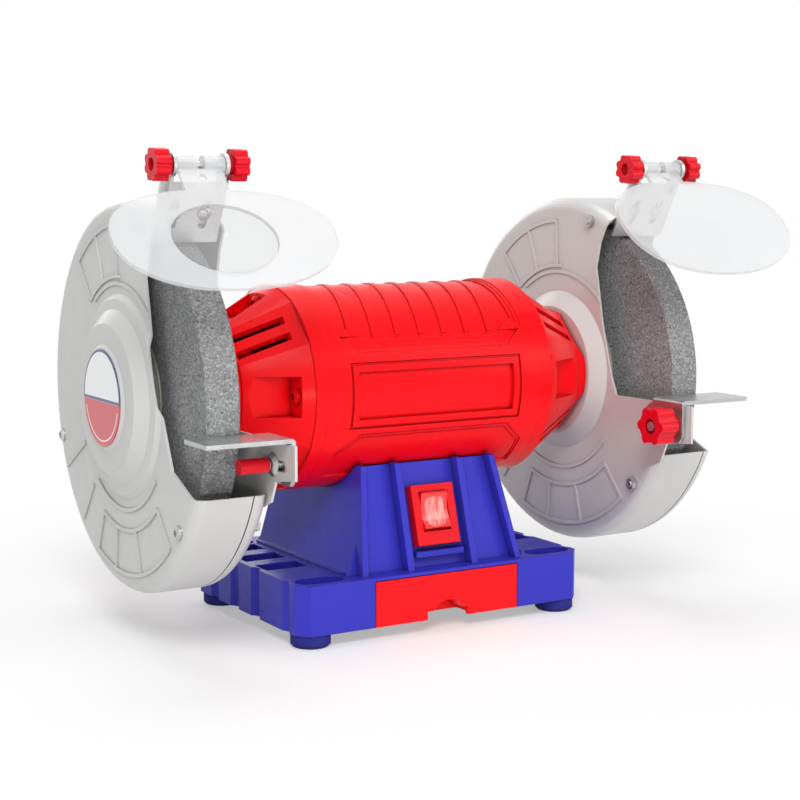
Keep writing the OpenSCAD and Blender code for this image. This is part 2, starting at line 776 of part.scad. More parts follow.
// The outer form of a bell: band, cone with four flats, nose
module bell_form() difference() {
    about_x() rotate_extrude() polygon([
        [0, half_l], [motor_r, half_l], [motor_r, band_end], [motor_r - shoulder_drop, band_end],
        [nose_r + 1, cone_end], [nose_r, cone_end], [nose_r, bell_nose_x], [0, bell_nose_x]
    ]);
    for (a = [45:90:315]) rotate([a, 0, 0])
        translate([band_end, -40, motor_r - shoulder_drop - 2.2]) rotate([0, cone_angle, 0])
            translate([-0.5, 0, 0]) cube([60, 80, 30]);
}

module end_bell(side) color(paint_red) at_axis() on_side(side) {
    seat_x = seat_end + (side < 0 ? washer_t : 0);
    lip_r = shell_in_r - slide_gap;
    difference() {
        union() {
            difference() {
                bell_form();
                about_x() rotate_extrude() polygon([
                    [0, half_l - 1], [lip_r - 4, half_l - 1], [lip_r - 4, band_end - 3],
                        [lip_r - 2, band_end - 1.4],
                    [nose_r - 2.5, cone_end - 5], [0, cone_end - 5]
                ]);
            }
            // Lip that centres the bell in the shell
            ring_x(half_l - 4, half_l + e, lip_r, lip_r - 4);
            bar_x(bearing_x - 2, cone_end - 4, bearing_r + 5);
            intersection() {
                bell_form();
                quarters() {
                    translate([pocket_in - 3, -pocket_w / 2 - 3, pocket_floor - 3])
                        cube([cone_end - pocket_in + 3, pocket_w + 6, 60]);
                    translate([0, 0, bell_screw_r]) bar_x(half_l, pocket_in, boss_r);
                }
            }
        }
        bar_x(bearing_x - 3, seat_x, bearing_r + fit / 2);
        bar_x(100, 140, journal_r + 1);
        quarters() {
            translate([pocket_in, -pocket_w / 2, pocket_floor]) cube([50, pocket_w, 60]);
            translate([0, 0, bell_screw_r]) bar_x(half_l - 1, pocket_in + 1, bell_screw_d / 2 + 0.2);
            translate([0, 0, bell_screw_r]) bar_x(half_l - 5, half_l, boss_r + 0.5);
        }
        for (a = [45:90:315], s = [-1, 1]) rotate([a, 0, 0])
            translate([pocket_in, s * (slot_w / 2 + 3.4) - slot_w / 2, bearing_r + 6])
                cube([cone_end - pocket_in - 0.8, slot_w, 60]);
        for (a = [90, 210, 330]) rotate([a, 0, 0]) translate([0, 0, guard_screw_r])
            bar_x(cone_end - 2, 140, 2.1);
    }
}

module bell_screws() color(steel_grey) at_axis() both_sides() quarters()
    translate([pocket_in, 0, bell_screw_r])
    rotate([0, 90, 0]) button_screw(bell_screw_d - 0.1, pocket_in - half_l + 8, 9, 3.6);

module stator_core() color([0.45, 0.46, 0.48]) at_axis() translate([-stack_l / 2, 0, 0]) about_x()
    linear_extrude(stack_l) difference() {
        circle(r = shell_in_r - slide_gap);
        circle(r = rotor_d / 2 + air_gap);
        for (i = [0:stator_slots - 1]) rotate(i * 360 / stator_slots) {
            translate([rotor_d / 2, -0.9]) square([5, 1.8]);
            translate([rotor_d / 2 + 3.5, 0]) polygon([[0, -2], [0, 2], [11, 3.2], [11, -3.2]]);
        }
    }

module stator_windings() color([0.72, 0.4, 0.2]) at_axis() both_sides() {
    in = rotor_d / 2 + 6;
    out = shell_in_r - 5;
    translate([stack_l / 2 + 0.2, 0, 0]) about_x() rotate_extrude()
        polygon([[in, 0], [out, 0], [out, 9], [out - 2.5, 12.5], [out - 7, 14], [in + 3, 12], [in, 8]]);
    for (i = [0:stator_slots - 1]) rotate([(i + 0.5) * 360 / stator_slots, 0, 0])
        translate([stack_l / 2 + 9, -2.5, out - 6]) cube([6.5, 5, 4]);
}

// ---------- bearings and spindle ----------

// Repeats its children at both bearings, with the inner face at x = 0
module bearing_places() both_sides() translate([bearing_x, 0, 0]) children();

// The groove that the balls run in
module race(r) translate([bearing_w / 2, 0, 0]) about_x()
    rotate_extrude() translate([pitch_r, 0]) circle(r = r);

module bearing_outer_rings() color(steel_grey) at_axis() bearing_places() difference() {
    ring_x(0, bearing_w, bearing_r, pitch_r + ball_d * 0.3);
    race(ball_d / 2 + fit);
}

module bearing_inner_rings() color(steel_grey) at_axis() bearing_places() difference() {
    ring_x(0, bearing_w, pitch_r - ball_d * 0.3, journal_r);
    race(ball_d / 2 + fit);
}

module bearing_balls() color([0.8, 0.8, 0.82]) at_axis() bearing_places()
    for (i = [0:ball_count - 1]) rotate([i * 360 / ball_count, 0, 0]) translate([bearing_w / 2, 0, pitch_r])
        sphere(d = ball_d, $fn = 48);

module wave_washer() color(steel_grey) at_axis() on_side(-1)
    ring_x(seat_end, seat_end + washer_t, bearing_r - 0.3, bearing_r - 4);

module spindle_shaft() color([0.7, 0.71, 0.72]) at_axis() union() {
    bar_x(-bearing_x, bearing_x, rotor_seat_d / 2);
    bar_x(-shoulder_x, shoulder_x, journal_r);
    both_sides() translate([shoulder_x - 1, 0, 0]) about_x() rotate_extrude() polygon([
        [0, 0], [arbor_r, 0], [arbor_r, spindle_end_x - shoulder_x],
            [arbor_r - 1, spindle_end_x - shoulder_x + 1],
        [0, spindle_end_x - shoulder_x + 1]
    ]);
}

module rotor_core() color([0.5, 0.51, 0.53]) at_axis()
    ring_x(-stack_l / 2, stack_l / 2, rotor_d / 2, rotor_seat_d / 2);

module rotor_cage() color([0.75, 0.76, 0.78]) at_axis() both_sides() {
    ring_x(stack_l / 2, stack_l / 2 + 7, rotor_d / 2 - 0.5, rotor_d / 2 - 11);
    for (i = [0:11]) rotate([i * 30, 0, 0]) translate([stack_l / 2 + 7 - e, -1, rotor_d / 2 - 9.5])
        cube([10, 2, 8]);
}

// ---------- wheels ----------

// A clamping flange with its contact rim facing +X, hollowed so that only the rim presses
module flange(thick) difference() {
    bar_x(0, thick, flange_d / 2);
    bar_x(thick - 1.6, thick + 1, flange_d / 2 - 9);
    bar_x(-1, thick + 1, arbor_r + fit / 2);
    translate([-e, 0, 0]) about_x() rotate_extrude()
        polygon([
            [flange_d / 2 - 12, 0], [flange_d / 2 + 1, 0],
            [flange_d / 2 + 1, 2.6], [flange_d / 2 - 12, 1.6]
        ]);
}

module inner_flanges() color(steel_grey) at_axis() both_sides() translate([shoulder_x, 0, 0])
    flange(flange_seat - shoulder_x);

module outer_flanges() color(steel_grey) at_axis() both_sides()
    translate([nut_x, 0, 0]) mirror([1, 0, 0]) flange(flange_t);

module blotters() color([0.9, 0.88, 0.8]) at_axis() both_sides() {
    ring_x(flange_seat, wheel_in, flange_d / 2 + 2, wheel_bore_d / 2 + 2);
    ring_x(wheel_out, outer_flange_in, flange_d / 2 + 2, wheel_bore_d / 2 + 2);
}

module arbor_bushings() color([0.15, 0.15, 0.16]) at_axis() both_sides()
    ring_x(wheel_in + 0.5, wheel_out - 0.5, wheel_bore_d / 2, arbor_r + fit / 2);

module wheel(side) color(abrasive_grey) at_axis() on_side(side) translate([wheel_in, 0, 0]) about_x()
    rotate_extrude($fn = 144) polygon([
        [wheel_bore_d / 2, 0], [wheel_r - 1, 0], [wheel_r, 1],
        [wheel_r, wheel_w - 1], [wheel_r - 1, wheel_w], [wheel_bore_d / 2, wheel_w]
    ]);

module spindle_nuts() color(steel_grey) at_axis() both_sides() difference() {
    intersection() {
        translate([nut_x, 0, 0]) about_x() cylinder(h = nut_t, d = nut_af / cos(30), $fn = 6);
        translate([nut_x, 0, 0]) about_x()
            cylinder(h = nut_t, r1 = nut_af / 2 + nut_t, r2 = nut_af / 2 + 0.6);
    }
    bar_x(nut_x - 1, nut_x + nut_t + 1, arbor_r + fit / 2);
}

// ---------- guards ----------

// The mouth of a guard as [y, z] from the spindle: everything in front of its edge
module mouth2d() {
    far = 2 * guard_r;
    up = [-sin(arrester_angle), cos(arrester_angle)];
    behind_flange = [cos(arrester_angle), sin(arrester_angle)] * 1.2;
    polygon([
        up * far + behind_flange, up * (wheel_r - 4) + behind_flange,
        [-39.5, 70], [-47, 33], [-57, 0], [-73, -34],
        [-guard_r + guard_edge_r + 7, mouth_low], [-far, mouth_low], [-far, far]
    ]);
}

// A pressed half shell about the spindle, closed at face and open at seam, with a boss pressed out of it
module dish(face, seam, out, boss) {
    edge_r = min(guard_edge_r, abs(face - seam) - 1);
    edge = [guard_r - edge_r, face - out * edge_r];
    outside = concat(shifted(boss, face), arc(edge, edge_r, out * 90, 0, 6), [[guard_r, seam]]);
    inside = concat(shifted(boss, face - out * guard_t),
        arc(edge, edge_r - guard_t, out * 90, 0, 6), [[guard_r - guard_t, seam]]);
    about_x() rotate_extrude($fn = 144) polygon(concat(outside, flip(inside)));
}

// A raised arc pressed into a guard
module bead_arc(r, from, to) intersection() {
    difference() {
        circle(r = r + bead_w / 2, $fn = 144);
        circle(r = r - bead_w / 2, $fn = 144);
    }
    polygon(concat([[0, 0]], arc([0, 0], 2 * r, from, to, 6)));
}

// A raised line along a radius
module bead_line(angle, from, to) rotate(angle) translate([from, -bead_w / 2]) square([to - from, bead_w]);

// The pattern pressed into the face of every guard half, as [y, z] from the spindle
module bead_pattern() {
    outer_r = guard_r - guard_edge_r - 3;
    bead_arc(78, -132, -68);
    bead_arc(outer_r, -132, -68);
    for (a = [-132, -105, -84, -68]) bead_line(a, 78, outer_r);
    bead_arc(66, -140, -55);
    bead_arc(70, 50, 92);
    bead_arc(outer_r - 4, 50, 88);
    for (a = [50, 69, 88]) bead_line(a, 70, outer_r - 4);
    bead_arc(66, 55, 175);
    bead_line(-30, 68, outer_r + 2);
    bead_line(-52, 74, outer_r);
}

// The place of a tool rest's bolt as [y, z] from the spindle
function rest_bolt(side) = side < 0 ? [-110, -28] : [-122, -23.5];

// The tongue of the inner guard half that carries the tool rest
module tongue2d(side) difference() {
    top = -0.5 - rest_t - (side < 0 ? left_rest_drop : right_rest_drop);
    polygon([
        [-57, top], [-tongue_end, top], [-tongue_end, tongue_low],
        [-guard_r + 2, tongue_low - 3], [-guard_r + 8, mouth_low - 4], [-86, -58]
    ]);
    translate([0, rest_bolt(side)[1]]) slot2d(-tongue_end + 10, -96, rest_bolt_d + 0.4);
}

module cover_screw_places() for (a = cover_screw_angles)
    rotate([a - 90, 0, 0]) translate([0, 0, cover_screw_r]) children();

// The lug behind the spark arrester, on the deep half of each guard and clear of its seam
module arrester_lug(seam) difference() {
    deep_out = seam < wheel_x;
    from = deep_out ? seam - wheel_x + seam_gap + 0.3 : -lug_half;
    to = deep_out ? lug_half : seam - wheel_x - seam_gap - 0.3;
    translate([from, 0, wheel_r + guard_gap]) cube([to - from, lug_t, guard_t + lug_l]);
    for (s = [-1, 1]) translate([s * screw_dx, -1, screw_r])
        rotate([-90, 0, 0]) cylinder(h = lug_t + 2, d = arrester_screw_d);
}

// Places its children at the arrester: +Z away from the spindle, -Y forward
module at_arrester(side) on_side(side) translate([wheel_x, 0, axis_h])
    rotate([arrester_angle, 0, 0]) children();

module guard_inner(side) {
    seam = side < 0 ? left_seam_x : right_seam_x;
    color(guard_grey) difference() {
        union() {
            at_axis() on_side(side) {
                difference() {
                    dish(guard_in_x, seam - seam_gap, -1, [
                        [journal_r + 3, -inner_boss], [inner_boss_r, -inner_boss], [inner_boss_r + 10, 0]
                    ]);
                    slab_x(0, 300) mouth2d();
                }
                slab_x(guard_in_x, guard_in_x + guard_t) tongue2d(side);
                slab_x(guard_in_x - bead_h, guard_in_x + e) difference() {
                    bead_pattern();
                    mouth2d();
                }
            }
            if (side > 0) at_arrester(side) arrester_lug(seam);
        }
        at_axis() on_side(side) {
            for (a = [90, 210, 330]) rotate([a, 0, 0]) translate([0, 0, guard_screw_r]) bar_x(100, 140, 2.7);
            cover_screw_places() bar_x(guard_in_x - 5, guard_in_x + 5, cover_screw_d / 2 + fit);
        }
    }
}

module guard_cover(side) {
    seam = side < 0 ? left_seam_x : right_seam_x;
    seat_r = label_d / 2 + 1;
    color(guard_grey) difference() {
        union() {
            at_axis() on_side(side) {
                difference() {
                    dish(guard_out_x, seam + seam_gap, 1, [
                        [0, cover_boss_h], [seat_r, cover_boss_h], [seat_r + 2, cover_boss_h - 1.6],
                        [43, cover_boss_h - 2], [51, 3.2], [57, 2.4], [60, 0]
                    ]);
                    slab_x(0, 300) mouth2d();
                }
                slab_x(guard_out_x - e, guard_out_x + bead_h) difference() {
                    bead_pattern();
                    mouth2d();
                }
            }
            if (side < 0) at_arrester(side) arrester_lug(seam);
        }
        at_axis() on_side(side) cover_screw_places()
            bar_x(guard_out_x - 5, guard_out_x + 5, cover_screw_d / 2 + fit);
    }
}

module guard_screws() color(steel_grey) at_axis() both_sides()
    for (a = [90, 210, 330]) rotate([a, 0, 0]) translate([bell_nose_x + guard_t, 0, guard_screw_r])
        rotate([0, 90, 0]) button_screw(4.1, 9, 9, 3.2);

module cover_screws() color([0.75, 0.75, 0.76]) at_axis() both_sides() cover_screw_places() {
    length = guard_out_x - guard_in_x + 4;
    translate([guard_out_x, 0, 0]) rotate([0, 90, 0]) button_screw(cover_screw_d, length, 8, 2.6);
    difference() {
        translate([guard_in_x - 3.2, 0, 0]) about_x() cylinder(h = 3.2, d = 8, $fn = 6);
        bar_x(guard_in_x - 5, guard_in_x + 1, cover_screw_d / 2 + fit / 2);
    }
}

module left_label() color([0.9, 0.9, 0.92]) at_axis() on_side(-1)
    bar_x(guard_out_x + cover_boss_h, guard_out_x + cover_boss_h + label_t, label_d / 2);

// ---------- arresters and shields ----------

module arrester(side) color(guard_grey) at_arrester(side) {
    difference() {
        union() {
            translate([-arrester_w / 2, -slide_gap - arrester_t, arrester_low])
                cube([arrester_w, arrester_t, arrester_top - arrester_low]);
            // Ears bent up at both sides of the hinge
            for (s = [-1, 1]) {
                a = s > 0 ? ear_x : -ear_x - arrester_t;
                slab_x(a, a + arrester_t) {
                    translate([-hinge_front, hinge_r]) circle(r = ear_r);
                    translate([-slide_gap - arrester_t - 3, arrester_top - 6])
                        square([arrester_t + 6.6, hinge_r - arrester_top + 6]);
                }
            }
        }
        for (s = [-1, 1]) slab_y(-10, 10) translate([s * screw_dx, 0]) rotate(90)
            slot2d(screw_r - slot_below, screw_r + slot_above, arrester_screw_d + 1);
        translate([0, -hinge_front, hinge_r]) bar_x(-30, 30, hinge_d / 2 + fit / 2);
    }
}

module arrester_screws() color([0.7, 0.7, 0.71]) for (side = [-1, 1], s = [-1, 1]) at_arrester(side)
    translate([s * screw_dx, -2 * slide_gap - arrester_t, screw_r]) rotate([90, 0, 0])
        button_screw(arrester_screw_d - fit, arrester_t + 7, 8, 2.4);

module hinge_bolt(side) color(steel_grey) at_arrester(side) translate([0, -hinge_front, hinge_r])
    bar_x(-hinge_bolt_half, hinge_bolt_half, hinge_d / 2);

// Places its children at a shield hinge: -Y runs down the shield, +Z points away from the wheel
module at_shield(side) {
    tilt = side < 0 ? left_shield_tilt : right_shield_tilt;
    at_arrester(side) translate([0, -hinge_front, hinge_r]) rotate([tilt - arrester_angle, 0, 0]) children();
}

module shield(side) color(clear_white) at_shield(side) {
    shift = side < 0 ? left_shield_shift : right_shield_shift;
    shield_l = side < 0 ? left_shield_l : right_shield_l;
    difference() {
        union() {
            intersection() {
                translate([shift, -shield_reach, -20])
                    linear_extrude(40) polygon(oval(shield_w, shield_l, 2.25, 56));
                translate([shift, 0, bow_r]) rotate([90, 0, 0]) difference() {
                    cylinder(h = 120, r = bow_r + shield_t / 2, $fn = 240);
                    translate([0, 0, -1]) cylinder(h = 122, r = bow_r - shield_t / 2, $fn = 240);
                }
            }
            // Tab and two knuckles that hang on the hinge bolt
            translate([-13, -shield_reach + shield_l / 2 - 4, -shield_t / 2])
                cube([26, shield_reach - shield_l / 2, shield_t]);
            for (s = [-1, 1]) translate([s * 8.2, 0, 0]) bar_x(-6, 6, knuckle_r);
        }
        bar_x(-20, 20, hinge_d / 2 + fit);
        translate([0, -9.5, 0]) cylinder(h = 10, d = 4.5, center = true);
        if (side < 0) translate([left_shield_shift, -shield_reach, -20]) linear_extrude(40)
            polygon(oval(lens_w, lens_l, 2, 48));
    }
}

module left_lens() color([0.93, 0.95, 0.96, 0.5])
    at_shield(-1) translate([left_shield_shift, -shield_reach, 0])
    intersection() {
        translate([0, 0, -10]) linear_extrude(20) polygon(oval(lens_w - 0.2, lens_l - 0.2, 2, 48));
        translate([0, 0, 203]) sphere(r = 206, $fn = 256);
        translate([0, 0, -203]) sphere(r = 206, $fn = 256);
    }

// A knob with round lobes, its neck at x = 0 and its head towards +X
module star_knob(d, head_l, neck, bore_d, bore_l, lobes) difference() {
    union() {
        bar_x(0, neck + e, d * 0.27);
        translate([neck, 0, 0]) rotate([90, 0, 90]) linear_extrude(head_l) {
            circle(d = d * 0.82);
            for (i = [0:lobes - 1]) rotate(i * 360 / lobes) translate([d * 0.37, 0]) circle(d = d * 0.26);
        }
    }
    bar_x(-1, bore_l, bore_d / 2);
    translate([neck + head_l - 2.5, 0, 0]) bar_x(0, 5, d * 0.2);
}

// A shield knob on the hinge bolt, on the outer or inner end of a hinge
module shield_knob(side, end) color(knob_red) at_arrester(side) translate([0, -hinge_front, hinge_r])
    on_side(end) translate([knob_x, 0, 0])
        star_knob(knob_d, knob_l, neck_l, hinge_d + 2 * fit, hinge_bolt_half - knob_x + 0.3, 8);

// ---------- tool rests ----------

// A bent plate: a platform in front of the wheel and a slotted leg that slides on the guard's tongue
module tool_rest(side) color([0.68, 0.69, 0.7]) on_side(side) {
    back = side < 0 ? left_rest_y : right_rest_y;
    front = back + rest_l;
    leg_top = side < 0 ? -left_rest_drop : -right_rest_drop;
    leg_back = leg_l - front;
    at_axis() {
        slab_y(-front, -back) {
            translate([rest_leg_x + 2, leg_top - rest_t]) square([rest_w - 2, rest_t]);
            translate([rest_leg_x, leg_top - rest_t - 2]) square([rest_t, 3]);
            difference() {
                translate([rest_leg_x + rest_t, leg_top - rest_t]) circle(r = rest_t);
                translate([rest_leg_x + rest_t, leg_top - rest_t - rest_t]) square([rest_t, 2 * rest_t]);
            }
        }
        slab_x(rest_leg_x, rest_leg_x + rest_t) difference() {
            polygon([
                [-front, leg_top - rest_t], [-front, leg_top - leg_drop + 4],
                [-front + 3, leg_top - leg_drop],
                [leg_back - 6, leg_top - leg_drop], [leg_back, leg_top - leg_drop + 8],
                [leg_back, leg_top - 8], [leg_back - 4, leg_top - 5], [-back, leg_top - rest_t]
            ]);
            translate([0, rest_bolt(side)[1]])
                slot2d(-front + slot_end, leg_back - slot_end, rest_bolt_d + 0.6);
        }
    }
}

// A low round bolt head with its flat face at x = 0
module round_head() about_x() intersection() {
    cylinder(h = rest_bolt_head_h, r = 6.75);
    translate([0, 0, -6.5]) sphere(r = 9.6);
}

// The bolt of a tool rest, from one place to another along X
module rest_bolt_at(side, from, to) at_axis() on_side(side)
    translate([0, rest_bolt(side)[0], rest_bolt(side)[1]]) {
        bar_x(from, to, rest_bolt_d / 2);
        translate([guard_in_x + guard_t, 0, 0]) round_head();
        children();
    }

module tool_rest_bolts() color(steel_grey) {
    rest_bolt_at(1, guard_in_x + guard_t - rest_bolt_l, guard_in_x + guard_t);
    // The left bolt has its own head on the motor side and a round nut inside the guard
    rest_bolt_at(-1, rest_leg_x, rest_leg_x + rest_bolt_l)
        translate([rest_leg_x, 0, 0]) mirror([1, 0, 0]) round_head();
}

// The knob of a tool rest: a slim grip inside the left guard, a lobed one beside the right guard
module rest_knob(side) color(knob_red) at_axis() on_side(side)
    translate([0, rest_bolt(side)[0], rest_bolt(side)[1]]) if (side < 0)
        translate([guard_in_x + guard_t + rest_bolt_head_h + 0.3, 0, 0]) difference() {
            bar_x(0, grip_l, grip_r);
            bar_x(-1, rest_bolt_l - guard_t - rest_t - rest_bolt_head_h, rest_bolt_d / 2 + fit);
        }
    else
        translate([rest_leg_x - 0.3, 0, 0]) mirror([1, 0, 0])
            star_knob(rest_knob_d, rest_knob_l, 5, rest_bolt_d + 2 * fit, rest_bolt_l - guard_t - rest_t, 6);

// ---------- nodes ----------

base_housing();
base_plate();
base_plate_screws();
wiring_cover();
wiring_cover_screws();
feet();
tray();
switch_bezel();
switch_rocker();
cord_gland();
terminal_block();
capacitor();
capacitor_clip();
motor_shell();
motor_screws();
end_bell(-1);  // left_end_bell
end_bell(1);  // right_end_bell
bell_screws();
stator_core();
stator_windings();
bearing_outer_rings();
bearing_inner_rings();
bearing_balls();
wave_washer();
spindle_shaft();
rotor_core();
rotor_cage();
inner_flanges();
outer_flanges();
blotters();
arbor_bushings();
wheel(-1);  // left_wheel
wheel(1);  // right_wheel
spindle_nuts();
guard_inner(-1);  // left_guard_inner
guard_inner(1);  // right_guard_inner
guard_cover(-1);  // left_guard_cover
guard_cover(1);  // right_guard_cover
guard_screws();
cover_screws();
left_label();
arrester(-1);  // left_arrester
arrester(1);  // right_arrester
arrester_screws();
hinge_bolt(-1);  // left_hinge_bolt
hinge_bolt(1);  // right_hinge_bolt
shield(-1);  // left_shield
shield(1);  // right_shield
left_lens();
shield_knob(-1, 1);  // left_shield_knob_outer
shield_knob(-1, -1);  // left_shield_knob_inner
shield_knob(1, 1);  // right_shield_knob_outer
shield_knob(1, -1);  // right_shield_knob_inner
tool_rest(-1);  // left_tool_rest
tool_rest(1);  // right_tool_rest
tool_rest_bolts();
rest_knob(-1);  // left_rest_knob
rest_knob(1);  // right_rest_knob
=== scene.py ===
"""Looks of the bench grinder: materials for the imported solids, camera and studio."""

import json
import math

import bpy
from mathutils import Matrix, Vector


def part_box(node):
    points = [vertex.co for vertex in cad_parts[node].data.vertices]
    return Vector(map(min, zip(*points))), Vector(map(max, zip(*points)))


MM = 0.001
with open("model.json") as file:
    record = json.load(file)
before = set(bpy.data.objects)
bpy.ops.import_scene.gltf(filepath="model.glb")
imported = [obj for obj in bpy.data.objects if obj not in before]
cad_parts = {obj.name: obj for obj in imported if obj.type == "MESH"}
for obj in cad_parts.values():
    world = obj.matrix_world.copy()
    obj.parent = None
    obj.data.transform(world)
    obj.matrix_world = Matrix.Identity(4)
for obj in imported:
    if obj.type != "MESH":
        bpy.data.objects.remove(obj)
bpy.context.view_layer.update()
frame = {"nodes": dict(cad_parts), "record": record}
NODES = frame["nodes"]

# ---------- camera: the photograph's viewing angle ----------

AXIS_Z = 146.13 * MM
VIEW_AZIMUTH = math.radians(-30.59)
VIEW_ELEVATION = math.radians(6.19)
VIEW_DISTANCE = 1064.35 * MM
LENS = 75.34
SHIFT = (0.01666, -0.0254)
SENSOR_WIDTH = 36
CLIP = (0.05, 50)


def make_camera():
    back = Vector((
        math.sin(VIEW_AZIMUTH) * math.cos(VIEW_ELEVATION),
        -math.cos(VIEW_AZIMUTH) * math.cos(VIEW_ELEVATION),
        math.sin(VIEW_ELEVATION),
    ))
    data = bpy.data.cameras.new("camera")
    data.sensor_width = SENSOR_WIDTH
    data.lens = LENS
    data.shift_x, data.shift_y = SHIFT
    data.clip_start, data.clip_end = CLIP
    camera = bpy.data.objects.new("camera", data)
    bpy.context.scene.collection.objects.link(camera)
    camera.location = Vector((0, 0, AXIS_Z)) + back * VIEW_DISTANCE
    camera.rotation_mode = "QUATERNION"
    camera.rotation_quaternion = (-back).to_track_quat("-Z", "Y")
    bpy.context.scene.camera = camera


make_camera()

# ---------- studio ----------

SEEING_RAYS = ("Is Camera Ray", "Is Glossy Ray", "Is Transmission Ray")
AMBIENT = 0.24
FLOOR_SIZE = 12
FLOOR_DROP = 0.2 * MM
FLOOR_SHADE = (0.92, 0.92, 0.92)
FADE_START, FADE_END = 0.16, 0.5
FADE_NEAR = 0.35

# Area lights: place, point aimed at, width and height, power in watts
LIGHTS = {
    "key": ((-0.9, -1.5, 1.6), (0, 0, 0.12), (0.9, 0.9), 32),
    "fill": ((1.5, -1.2, 0.9), (0, 0, 0.12), (1.2, 1.2), 9),
    "top": ((0, 0.3, 1.9), (0, 0, 0.1), (1.4, 0.9), 13),
    "low": ((-0.3, -1.3, 0.06), (0, 0, 0.13), (1.2, 0.12), 5),
    "rim": ((0.2, 1.8, 0.9), (0, 0, 0.14), (1.4, 0.8), 7),
}


def area_light(name, place, aim, size, power):
    data = bpy.data.lights.new(name, "AREA")
    data.shape = "RECTANGLE"
    data.size, data.size_y = size
    data.energy = power
    light = bpy.data.objects.new(name, data)
    bpy.context.scene.collection.objects.link(light)
    light.location = place
    direction = Vector(aim) - Vector(place)
    light.rotation_euler = direction.to_track_quat("-Z", "Y").to_euler()


def white_to(rays, nodes, links):
    """A factor that is 1 for the named rays, so that they see the plain white background."""
    path = nodes.new("ShaderNodeLightPath")
    total = path.outputs[rays[0]]
    for ray in rays[1:]:
        add = nodes.new("ShaderNodeMath")
        add.operation = "MAXIMUM"
        links.new(total, add.inputs[0])
        links.new(path.outputs[ray], add.inputs[1])
        total = add.outputs[0]
    return total


def make_studio():
    world = bpy.data.worlds.new("studio")
    bpy.context.scene.world = world
    world.use_nodes = True
    nodes, links = world.node_tree.nodes, world.node_tree.links
    nodes.clear()
    lit = nodes.new("ShaderNodeBackground")
    lit.inputs["Color"].default_value = (1, 1, 1, 1)
    lit.inputs["Strength"].default_value = AMBIENT
    seen = nodes.new("ShaderNodeBackground")
    seen.inputs["Color"].default_value = (1, 1, 1, 1)
    seen.inputs["Strength"].default_value = 1
    mix = nodes.new("ShaderNodeMixShader")
    out = nodes.new("ShaderNodeOutputWorld")
    links.new(white_to(SEEING_RAYS, nodes, links), mix.inputs[0])
    links.new(lit.outputs[0], mix.inputs[1])
    links.new(seen.outputs[0], mix.inputs[2])
    links.new(mix.outputs[0], out.inputs[0])

    for name, (place, aim, size, power) in LIGHTS.items():
        area_light(name, place, aim, size, power)

    bpy.ops.mesh.primitive_plane_add(size=FLOOR_SIZE, location=(0, 0, -FLOOR_DROP))
    floor = bpy.context.object
    floor.name = "floor"
    floor.data.materials.append(floor_material())


def floor_material():
    """White with the object's shadow near it, fading to the plain white of the background."""
    mat = bpy.data.materials.new("floor_white")
    mat.use_nodes = True
    nodes, links = mat.node_tree.nodes, mat.node_tree.links
    nodes.clear()
    paper = nodes.new("ShaderNodeBsdfDiffuse")
    paper.inputs["Color"].default_value = (*FLOOR_SHADE, 1)
    white = nodes.new("ShaderNodeEmission")
    white.inputs["Strength"].default_value = 1
    where = nodes.new("ShaderNodeNewGeometry")
    far = nodes.new("ShaderNodeVectorMath")
    far.operation = "LENGTH"
    links.new(where.outputs["Position"], far.inputs[0])
    fade = nodes.new("ShaderNodeMapRange")
    fade.interpolation_type = "SMOOTHSTEP"
    fade.inputs["From Min"].default_value = FADE_START
    fade.inputs["From Max"].default_value = FADE_END
    fade.inputs["To Min"].default_value = FADE_NEAR
    fade.inputs["To Max"].default_value = 1
    links.new(far.outputs["Value"], fade.inputs["Value"])
    rays = white_to(SEEING_RAYS, nodes, links)
    gate = nodes.new("ShaderNodeMath")
    gate.operation = "MULTIPLY"
    links.new(fade.outputs[0], gate.inputs[0])
    links.new(rays, gate.inputs[1])
    mix = nodes.new("ShaderNodeMixShader")
    links.new(gate.outputs[0], mix.inputs[0])
    links.new(paper.outputs[0], mix.inputs[1])
    links.new(white.outputs[0], mix.inputs[2])
    out = nodes.new("ShaderNodeOutputMaterial")
    links.new(mix.outputs[0], out.inputs[0])
    return mat


bpy.context.scene.view_settings.view_transform = "Standard"
make_studio()

# ---------- materials ----------

BEVEL_SAMPLES = 4
PAINTED_SHADE_SAMPLES = 6
# The share of open sky at which the painted shade in a hollow begins, and at which it is darkest
PAINTED_SHADE_OPEN, PAINTED_SHADE_SHUT = 0.92, 0.35
GRIT = 1 * MM


